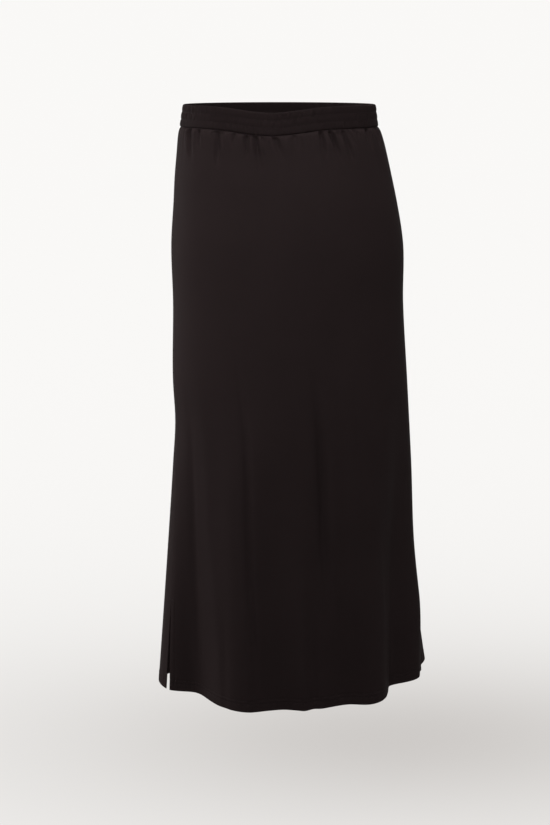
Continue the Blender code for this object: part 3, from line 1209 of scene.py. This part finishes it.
    def line(self, angle: np.ndarray, drop: np.ndarray) -> Line:
        """A row of stitching on the outer face."""
        angle, drop = np.broadcast_arrays(angle, drop)
        return self.outer(angle, drop)

    def hem_lines(self) -> list[Line]:
        """The two rows of a twin needle round the hem, from slit to slit.

        Returns:
            The rows.
        """
        lines = []
        for row in self.hem_rows:
            drop = np.array(SKIRT_DROP - row)
            first, last = self.edges(drop)
            inset = self.row_end * self.form.degrees_per_metre(first, drop)
            lines.append(self.line(np.linspace(first + inset, last - inset, self.hem_points), drop))
        return lines

    def slit_lines(self) -> list[Line]:
        """A row up each slit's edge, from the hem's stitching to the slit's top.

        Returns:
            The rows.
        """
        top = SKIRT_DROP - self.slit_length + self.row_end
        drop = np.linspace(SKIRT_DROP - self.hem_rows[0], top, self.slit_points)
        return [self.line(angle, drop) for angle in self.inset(self.slit_row, drop)]

    def tack_lines(self) -> list[Line]:
        """The bar tack across the top of each slit: close rows from its edge to its stitching.

        Returns:
            The rows.
        """
        off = np.linspace(self.tack_inset, self.slit_row, self.tack_points)
        lines = []
        for step in range(self.tack_rows):
            drop = np.full(off.shape, SKIRT_DROP - self.slit_length + self.tack_pitch * step)
            lines += [self.line(angle, drop) for angle in self.inset(off, drop)]
        return lines

    def build(self, cloth: bpy.types.Material, thread: bpy.types.Material) -> None:
        """Args:
            cloth: The jersey.
            thread: The sewing thread.
        """
        panel = link(self.mesh(), cloth)
        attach(panel, "root")
        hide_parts(f"{self.side.value}_panel")
        sewing, tacking = Stitches(), Stitches(length=0.0022, gap=0.0001)
        rows = sewing.piece(f"{self.side.value}_hem_stitches", self.hem_lines(), thread)
        slits = sewing.piece(f"{self.side.value}_slit_stitches", self.slit_lines(), thread)
        tacks = tacking.piece(f"{self.side.value}_slit_tacks", self.tack_lines(), thread)
        for piece in (rows, slits, tacks):
            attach(piece, "root")
        LOG.info("%s panel: %d faces", self.side.value, len(panel.data.polygons))


@dataclass
class Waistband:
    """Jersey ruched over flat elastic and sewn through in rows: a closed, rounded ring."""

    form: SkirtForm
    wall: float = 0.003
    taper: float = 0.005
    channels: int = 3
    swell: float = 0.0006
    swell_power: float = 0.8
    inside_swell: float = 0.4
    ruche: float = 0.00034
    ruche_power: float = 0.5
    inside_ruche: float = 0.5
    drift: float = 0.004
    drift_up: float = 260.0
    drift_round: float = 3.0
    channel_shift: float = 1.7
    patch: float = 0.4
    patch_round: float = 5.0
    patch_shift: float = 1.3
    cut_length: float = 0.98
    columns: int = 1400
    side_rows: int = 37
    inside_rows: int = 13
    cap_rows: int = 7
    stitch_points: int = 1800

    def section(self) -> tuple[np.ndarray, np.ndarray]:
        """The ring's section: up the outside, over, down the inside and under.

        Returns:
            Heights above the seam, and insets from the outer face.
        """
        radius = self.wall / 2
        up = np.linspace(radius, BAND_HEIGHT - radius, self.side_rows)
        over = np.linspace(0.0, np.pi, self.cap_rows + 2)[1:-1]
        down = np.linspace(BAND_HEIGHT - radius, radius, self.inside_rows)
        height = np.concatenate([
            up, BAND_HEIGHT - radius + radius * np.sin(over), down, radius - radius * np.sin(over),
        ])
        inset = np.concatenate([
            np.zeros(self.side_rows), radius - radius * np.cos(over),
            np.full(self.inside_rows, self.wall), radius + radius * np.cos(over),
        ])
        return height, inset

    def ruching(self, angle: np.ndarray, height: np.ndarray) -> np.ndarray:
        """Upright wrinkles of uneven width, which drift and change from one channel to the next.

        Args:
            angle: Degrees round the waist.
            height: Metres above the seam.

        Returns:
            How far out the wrinkles stand.
        """
        channel = np.floor(height / BAND_HEIGHT * self.channels)
        turn = np.radians(angle)
        drifted = turn + self.drift * np.sin(height * self.drift_up + self.drift_round * turn)
        wave = wrinkles(RUCHES, drifted, channel * self.channel_shift)
        patch = np.sin(self.patch_round * turn + self.patch_shift * channel)
        return self.ruche * wave * (1.0 - self.patch + self.patch * patch)

    def points(self, angle: np.ndarray, height: np.ndarray, inset: np.ndarray) -> np.ndarray:
        """The ring's surface: the oval at the seam, moved out by channels and ruches, leaning in.

        Args:
            angle: Degrees round the waist.
            height: Metres above the seam.
            inset: Metres in from the outer face.

        Returns:
            The points, with X, Y and Z on the last axis.
        """
        angle, height, inset = np.broadcast_arrays(angle, height, inset)
        channel = np.abs(np.sin(np.pi * self.channels * height / BAND_HEIGHT))
        face = 1.0 - 2.0 * inset / self.wall
        swell = self.swell * channel**self.swell_power
        wrinkle = self.ruching(angle, height) * channel**self.ruche_power
        swell = swell * np.where(face > 0, face, self.inside_swell * face)
        wrinkle = wrinkle * np.where(face > 0, face, self.inside_ruche * face)
        out = swell + wrinkle - inset - self.taper * height / BAND_HEIGHT
        x, y = self.form.oval(angle, np.zeros(angle.shape), out)
        return np.stack([x, y, self.form.seam_height(angle) + height], axis=-1)

    def mesh(self) -> bpy.types.Mesh:
        """The ring: a grid that joins up both round the waist and round its section.

        Returns:
            The mesh, with places on the cut cloth in metres.
        """
        height, inset = self.section()
        angle = np.linspace(0.0, 360.0, self.columns, endpoint=False)
        points = self.points(angle[None, :], height[:, None], inset[:, None])
        faces = grid_faces(len(height), self.columns, round_rows=True, round_columns=True)[:, ::-1]
        along = np.linspace(0.0, self.cut_length, self.columns + 1)
        steps = np.hypot(np.diff(height), np.diff(inset))
        girth = np.concatenate([[0.0], np.cumsum([*steps, self.wall / 2])])
        i, j = np.indices((len(height), self.columns))
        u = np.stack([along[j], along[j], along[j + 1], along[j + 1]], axis=-1)
        v = np.stack([girth[i], girth[i + 1], girth[i + 1], girth[i]], axis=-1)
        uv = np.stack([u, v], axis=-1).reshape(-1, 4, 2)[:, ::-1]
        return quad_mesh("waistband_casing", points.reshape(-1, 3), faces, uv.reshape(-1, 2))

    def stitch_lines(self) -> list[Line]:
        """The rows of stitching between the channels, right round.

        Returns:
            The rows.
        """
        angle = np.linspace(0.0, 360.0, self.stitch_points)
        lines = []
        for row in range(1, self.channels):
            height = np.full(angle.shape, BAND_HEIGHT * row / self.channels)
            line = self.points(angle, height, np.zeros(angle.shape))
            way = line - self.points(angle, height, np.full(angle.shape, self.wall))
            lines.append((line, way / np.linalg.norm(way, axis=-1, keepdims=True)))
        return lines

    def build(self, cloth: bpy.types.Material, thread: bpy.types.Material) -> None:
        """Args:
            cloth: The jersey, darkened as painted shade.
            thread: The sewing thread.
        """
        band = link(self.mesh(), cloth)
        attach(band, "root")
        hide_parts("waistband")
        sewing = Stitches(length=0.0030, gap=0.0006)
        rows = sewing.piece("waistband_stitches", self.stitch_lines(), thread)
        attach(rows, "root")
        LOG.info("waistband: %d faces", len(band.data.polygons))


@dataclass(frozen=True)
class SoftBox:
    """A square lamp with a grid over it, which narrows its light to a cone."""

    name: str
    place: tuple[float, float, float]
    power: float
    aim: tuple[float, float, float] = (0.0, 0.0, -0.3)
    size: float = 1.4
    spread: float = 180.0

    def build(self) -> None:
        """Hangs the lamp and turns it to its aim."""
        data = bpy.data.lights.new(self.name, "AREA")
        data.energy = self.power
        data.size = self.size
        data.spread = math.radians(self.spread)
        lamp = show(self.name, data)
        lamp.location = self.place
        lamp.rotation_euler = (Vector(self.aim) - lamp.location).to_track_quat("-Z", "Y").to_euler()


SOFT_BOXES = (
    SoftBox("top", (1.2, 3.4, 2.0), 6.5),
    SoftBox("above", (0.0, 0.6, 2.6), 90.0),
    SoftBox("hips", (0.3, 3.0, 1.2), 2.8, aim=(0.0, 0.0, -0.1), size=0.8, spread=30.0),
    SoftBox("left_hip", (2.8, 1.2, 0.1), 0.36, size=0.5, spread=20.0),
    SoftBox("left", (3.0, 0.0, 0.6), 27.5),
    SoftBox("left_front", (2.6, -1.4, -0.1), 62.0),
    SoftBox("right_high", (-2.6, 2.0, 1.6), 3.0),
    SoftBox("right", (-3.0, 0.0, 0.6), 2.5),
)


@dataclass
class Studio:
    """A pale floor, soft lights and the camera."""

    floor_height: float = -1.13
    floor_steps: tuple[float, ...] = (1.0, 4.0, 12.0, 60.0)
    camera_place: tuple[float, float, float] = (0.0066, 3.42, 0.136)
    camera_pitch: float = 10.22
    focal_pixels: float = 2131.0
    picture_height: int = 825
    sensor: float = 36.0

    def floor(self) -> None:
        """A wide level square, with smaller quads in its middle."""
        steps = np.array(self.floor_steps)
        line = np.concatenate([-steps[::-1], steps])
        x, y = np.meshgrid(line, line)
        points = np.stack([x, y, np.full(x.shape, self.floor_height)], axis=-1).reshape(-1, 3)
        faces = grid_faces(len(line), len(line))[:, ::-1]
        link(quad_mesh("floor", points, faces), FloorWithPaintedShadow().material())

    def lights(self) -> None:
        """The soft boxes, and a backdrop all round."""
        for box in SOFT_BOXES:
            box.build()
        sky = Bench(bpy.data.worlds.new("sky"), "Background")
        sky.surface(Color=sky.backdrop(sky.coordinate("Generated")))
        bpy.context.scene.world = sky.owner
        bpy.context.scene.view_settings.view_transform = "Standard"

    def camera(self) -> None:
        """A camera behind the skirt, at waist height, that looks a little down."""
        data = bpy.data.cameras.new("camera")
        data.sensor_width = self.sensor
        data.lens = self.focal_pixels / self.picture_height * self.sensor
        camera = show("camera", data)
        camera.location = self.camera_place
        camera.rotation_euler = (math.radians(90.0 - self.camera_pitch), 0.0, math.pi)
        bpy.context.scene.camera = camera

    def build(self) -> None:
        """Makes the camera first, then the floor and the lights."""
        self.camera()
        self.floor()
        self.lights()
        LOG.info("studio: floor at %.2f m", self.floor_height)


def main() -> None:
    """Builds the skirt's pieces and the studio, in order."""
    logging.basicConfig(level=logging.INFO, format="%(name)s: %(message)s")
    form = SkirtForm()
    jersey = JERSEY.material()
    # The waistband's jersey, darker as painted shade.
    ruched = SHADED_BAND_JERSEY.material()
    thread = ThreadFinish().material()
    Studio().build()
    Waistband(form).build(ruched, thread)
    for side in Side:
        Panel(side, form).build(jersey, thread)


if __name__ == "__main__":
    main()
